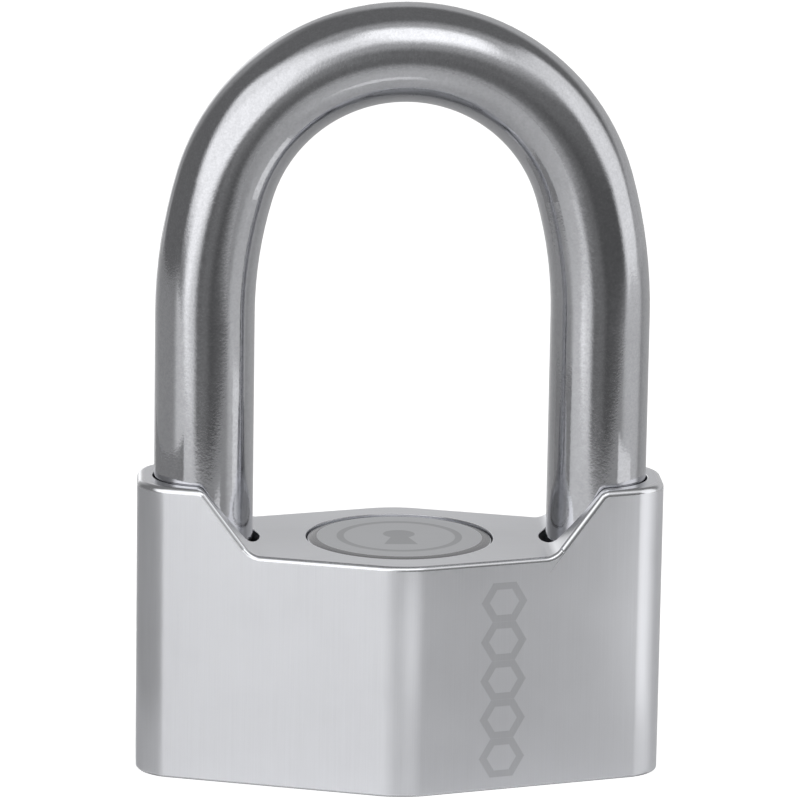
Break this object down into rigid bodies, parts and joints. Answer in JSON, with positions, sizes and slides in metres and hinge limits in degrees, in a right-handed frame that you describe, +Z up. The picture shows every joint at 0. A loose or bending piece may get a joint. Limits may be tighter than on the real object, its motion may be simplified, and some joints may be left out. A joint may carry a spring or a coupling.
{
  "type": "u-shackle padlock",
  "caption": "Heavy stainless padlock with a lozenge body, raised shoulders, a round deck cap and a tall removable U-shaped shackle locked by two balls.",
  "frame": {"origin": "on the flat underside, at the middle of the body", "axes": "+X along the line from the left leg to the right leg, -Y out of the front ridge, +Z up through the cap towards the top of the shackle"},
  "size_m": [0.085, 0.041, 0.1254],
  "materials": {
    "brushed_stainless": "satin stainless steel with fine upright brush lines",
    "polished_stainless": "polished stainless round bar with a fine mottled grain",
    "hardened_steel": "ground hardened steel",
    "bearing_steel": "polished bearing ball",
    "spring_steel": "plain spring steel",
    "brass": "machined brass",
    "seal_rubber": "matt black nitrile"
  },
  "bodies": {
    "body": {"body": "brushed_stainless", "top_cap": "brushed_stainless", "cap_o_ring": "seal_rubber", "cap_snap_ring": "spring_steel", "thrust_washer": "brass", "cylinder_housing": "hardened_steel", "housing_dowels": "spring_steel"},
    "shackle": {"shackle": "polished_stainless"},
    "key_plug": {"drum": "brass", "keyway_face": "hardened_steel", "anti_drill_disc": "hardened_steel", "disc_1": "brass", "disc_2": "brass", "disc_3": "brass", "disc_4": "brass", "disc_5": "brass", "disc_6": "brass", "disc_7": "brass", "disc_spacers": "spring_steel", "sidebar": "spring_steel", "cam": "hardened_steel"},
    "ball_left": {"ball_left": "bearing_steel"},
    "ball_right": {"ball_right": "bearing_steel"}
  },
  "joints": [
    {"name": "shackle_lift", "type": "slide", "parent": "body", "child": "shackle", "axis": [0, 0, 1], "range_m": [0, 0.036]},
    {"name": "key_turn", "type": "hinge", "parent": "body", "child": "key_plug", "pos_m": [0, 0, 0.02], "axis": [0, 0, 1], "range_deg": [0, 90]},
    {"name": "ball_left_slide", "type": "slide", "parent": "body", "child": "ball_left", "axis": [-1, 0, 0], "range_m": [0, 0.004]},
    {"name": "ball_right_slide", "type": "slide", "parent": "body", "child": "ball_right", "axis": [1, 0, 0], "range_m": [0, 0.004]}
  ],
  "couplings": [
    {"joint": "ball_left_slide", "follows": "key_turn", "m_per_rad": 0.0025464},
    {"joint": "ball_right_slide", "follows": "key_turn", "m_per_rad": 0.0025464}
  ]
}
